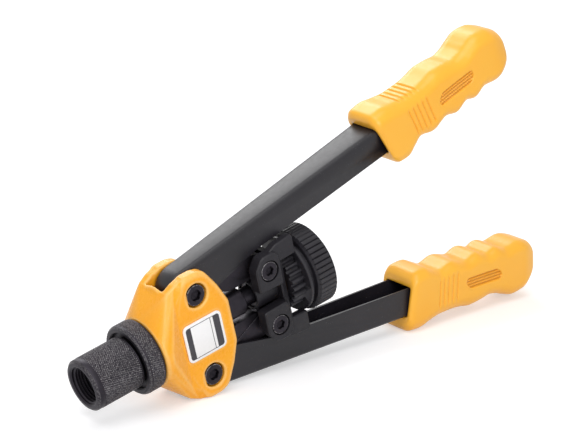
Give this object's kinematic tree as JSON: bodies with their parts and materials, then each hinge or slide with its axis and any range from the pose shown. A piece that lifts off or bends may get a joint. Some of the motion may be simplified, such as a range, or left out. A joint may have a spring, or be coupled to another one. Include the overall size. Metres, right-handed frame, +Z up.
{
  "type": "rivet nut tool",
  "caption": "Two-handed lever tool that pulls threaded inserts: nosepiece with lock ring, cast head, hinged channel handles with moulded grips, pulling carriage and spindle knob.",
  "frame": {"origin": "centre of the bounding box in X and Y, at the floor that the tool stands on in Z", "axes": "+X from the nosepiece towards the grips, +Y across the tool towards the side with the nuts, +Z up"},
  "size_m": [0.3288, 0.0484, 0.1734],
  "materials": {
    "yellow_casting": "satin yellow-orange paint on cast aluminium",
    "bare_plate": "satin white, left bare",
    "plated_steel": "zinc plated",
    "black_steel": "blackened",
    "black_screw": "black oxide",
    "black_casting": "matte black coat on a steel casting",
    "black_channel": "satin black coat on pressed steel",
    "black_nylon": "moulded, fine grain",
    "orange_grip": "satin moulded",
    "bronze": "sintered bronze"
  },
  "bodies": {
    "head": {"head_casting": "yellow_casting", "name_plate": "bare_plate", "guide_sleeve": "black_steel", "upper_pivot_screw": "black_screw", "upper_pivot_nut": "black_screw", "upper_pivot_bush": "bronze", "lower_pivot_screw": "black_screw", "lower_pivot_nut": "black_screw", "lower_pivot_bush": "bronze"},
    "nosepiece": {"nosepiece": "black_steel"},
    "lock_ring": {"lock_ring": "black_steel"},
    "upper_handle": {"upper_handle_channel": "black_channel", "upper_grip": "orange_grip", "upper_elbow_pin": "plated_steel"},
    "lower_handle": {"lower_handle_channel": "black_channel", "lower_grip": "orange_grip", "lower_elbow_pin": "plated_steel"},
    "upper_link": {"upper_link": "black_steel"},
    "lower_link": {"lower_link": "black_steel"},
    "carriage": {"carriage": "black_casting", "thrust_washer": "bronze", "upper_lug_screw": "black_screw", "upper_lug_nut": "black_screw", "upper_lug_bush": "plated_steel", "lower_lug_screw": "black_screw", "lower_lug_nut": "black_screw", "lower_lug_bush": "plated_steel"},
    "spindle": {"pull_rod": "black_steel", "rod_retaining_ring": "black_steel", "knob": "black_nylon", "knob_nut": "plated_steel"}
  },
  "joints": [
    {"name": "upper_handle_hinge", "type": "hinge", "parent": "head", "child": "upper_handle", "pos_m": [-0.09732, 0, 0.06153], "axis": [0, -1, 0], "range_deg": [-4, 28]},
    {"name": "lower_handle_hinge", "type": "hinge", "parent": "head", "child": "lower_handle", "pos_m": [-0.08622, 0, 0.01319], "axis": [0, 1, 0], "range_deg": [-4, 28]},
    {"name": "carriage_slide", "type": "slide", "parent": "head", "child": "carriage", "axis": [0.9746, 0, 0.2238], "range_m": [-0.00512, 0.00075]},
    {"name": "upper_link_hinge", "type": "hinge", "parent": "upper_handle", "child": "upper_link", "pos_m": [-0.09152, 0, 0.06983], "axis": [0, -1, 0], "range_deg": [-32.25, 4.69]},
    {"name": "lower_link_hinge", "type": "hinge", "parent": "lower_handle", "child": "lower_link", "pos_m": [-0.07738, 0, 0.00826], "axis": [0, 1, 0], "range_deg": [-32.25, 4.69]},
    {"name": "knob_spin", "type": "hinge", "parent": "carriage", "child": "spindle", "pos_m": [-0.02004, 0, 0.05383], "axis": [0.9746, 0, 0.2238], "continuous": true},
    {"name": "nosepiece_thread", "type": "hinge", "parent": "head", "child": "nosepiece", "pos_m": [-0.16136, 0, 0.02138], "axis": [0.9746, 0, 0.2238], "range_deg": [-180, 180]},
    {"name": "lock_ring_thread", "type": "hinge", "parent": "head", "child": "lock_ring", "pos_m": [-0.16136, 0, 0.02138], "axis": [0.9746, 0, 0.2238], "range_deg": [-90, 90]}
  ],
  "couplings": [
    {"joint": "lower_handle_hinge", "follows": "upper_handle_hinge", "ratio": 1},
    {"joint": "upper_link_hinge", "follows": "upper_handle_hinge", "ratio": -1.1483},
    {"joint": "lower_link_hinge", "follows": "upper_handle_hinge", "ratio": -1.1483},
    {"joint": "carriage_slide", "follows": "upper_handle_hinge", "m_per_rad": -0.010435}
  ]
}
